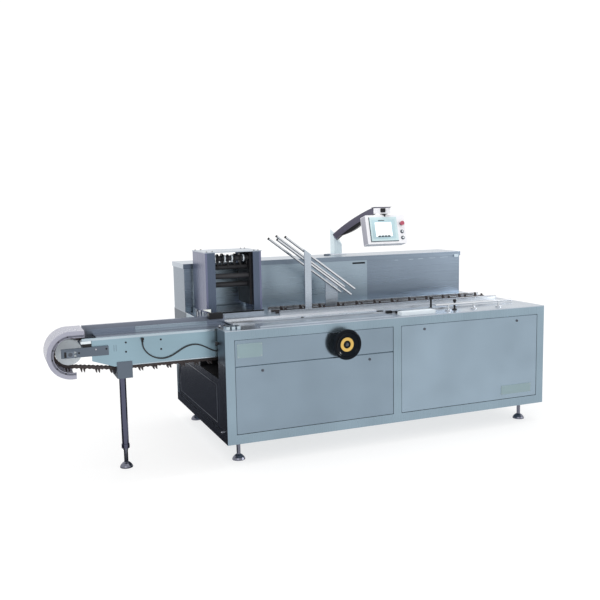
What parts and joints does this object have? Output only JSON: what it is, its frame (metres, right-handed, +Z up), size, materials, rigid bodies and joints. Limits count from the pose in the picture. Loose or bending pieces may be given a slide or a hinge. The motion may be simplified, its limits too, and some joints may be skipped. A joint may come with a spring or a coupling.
{
  "type": "case packing machine",
  "caption": "Horizontal cartoner: panelled steel cabinet, lugged infeed conveyor, leaflet folder, sloping carton magazine, handwheel and swivelling control panel.",
  "frame": {"origin": "on the floor under the middle of the whole machine's bounding box", "axes": "+X runs along the machine from the infeed end to the discharge end, +Y from the front to the rear, +Z up"},
  "size_m": [3.45, 1.382, 1.585],
  "materials": {
    "steel_frame": "brushed stainless sheet",
    "steel_table": "brushed stainless sheet",
    "steel_panel": "brushed stainless sheet",
    "steel_plate": "brushed stainless plate",
    "steel_bed": "brushed stainless strip",
    "folder_steel": "brushed stainless plate",
    "bright_rail": "bright ground steel",
    "bright_metal": "bright plated steel",
    "bright_tube": "polished stainless tube",
    "arm_steel": "satin stainless tube",
    "panel_grey": "pale grey satin paint",
    "screen_frame": "grey touch screen frame",
    "grey_bar": "grey satin steel",
    "foot_steel": "dark cast levelling foot",
    "dark_lock": "dark plated lock",
    "black_wheel": "polished black moulding",
    "yellow_ring": "yellow ring",
    "chain_black": "oiled steel chain",
    "white_plastic": "white engineering plastic",
    "clear_guard": "smoked clear guard",
    "black_block": "black engineering plastic",
    "black_roller": "black rubber rollers",
    "red_button": "red mushroom button",
    "black_button": "black push button",
    "cable_black": "black cable sheath"
  },
  "bodies": {
    "machine": {"housing": "steel_frame", "table_top": "steel_table", "front_upper_panel": "steel_panel", "front_lower_panel": "steel_panel", "front_right_panel": "steel_panel", "left_side_panel": "steel_panel", "right_side_panel": "steel_panel", "rear_panels": "steel_panel", "panel_locks": "dark_lock", "machine_feet": "foot_steel", "wheel_bearing": "bright_metal", "conveyor_mounts": "grey_bar", "conveyor_near_plate": "steel_plate", "conveyor_far_plate": "steel_plate", "conveyor_bed": "steel_bed", "infeed_chain": "chain_black", "tail_wheel": "white_plastic", "head_wheel": "grey_bar", "head_shaft": "bright_metal", "tail_shaft": "bright_metal", "bearing_bars": "grey_bar", "take_up_blocks": "bright_metal", "end_guard": "clear_guard", "guard_brackets": "grey_bar", "chain_guide": "black_block", "leg_bracket": "grey_bar", "conveyor_leg": "bright_tube", "leg_foot": "foot_steel", "folder_base": "folder_steel", "folder_end_plates": "folder_steel", "folder_posts": "folder_steel", "folder_top_plate": "folder_steel", "folder_rollers": "black_roller", "magazine_rails": "bright_rail", "magazine_end_caps": "black_block", "magazine_saddles": "bright_rail", "carton_track_rails": "bright_rail", "carton_chains": "chain_black", "pusher_cover": "bright_rail", "pusher_heads": "black_block", "side_guide": "bright_metal", "guide_bar": "white_plastic", "rear_box": "steel_panel", "rear_box_cover": "steel_table", "panel_post": "arm_steel", "panel_arm": "arm_steel", "arm_liner": "black_block", "swivel_seat": "black_block", "sensor_block": "black_block", "sensor_cable": "cable_black", "cable_gland": "black_block", "cable_socket": "black_block"},
    "handwheel": {"handwheel": "black_wheel", "handwheel_ring": "yellow_ring", "handwheel_shaft": "bright_metal"},
    "control_panel": {"panel_box": "panel_grey", "panel_screen": "screen_frame", "emergency_stop": "red_button", "panel_buttons": "black_button", "panel_swivel": "black_block"}
  },
  "joints": [
    {"name": "handwheel_turn", "type": "hinge", "parent": "machine", "child": "handwheel", "pos_m": [0.105, -0.659, 0.72], "axis": [0, -1, 0], "continuous": true},
    {"name": "panel_swivel_turn", "type": "hinge", "parent": "machine", "child": "control_panel", "pos_m": [0.92975, 0.34079, 1.5285], "axis": [0, 0, 1], "range_deg": [0, 75]}
  ]
}
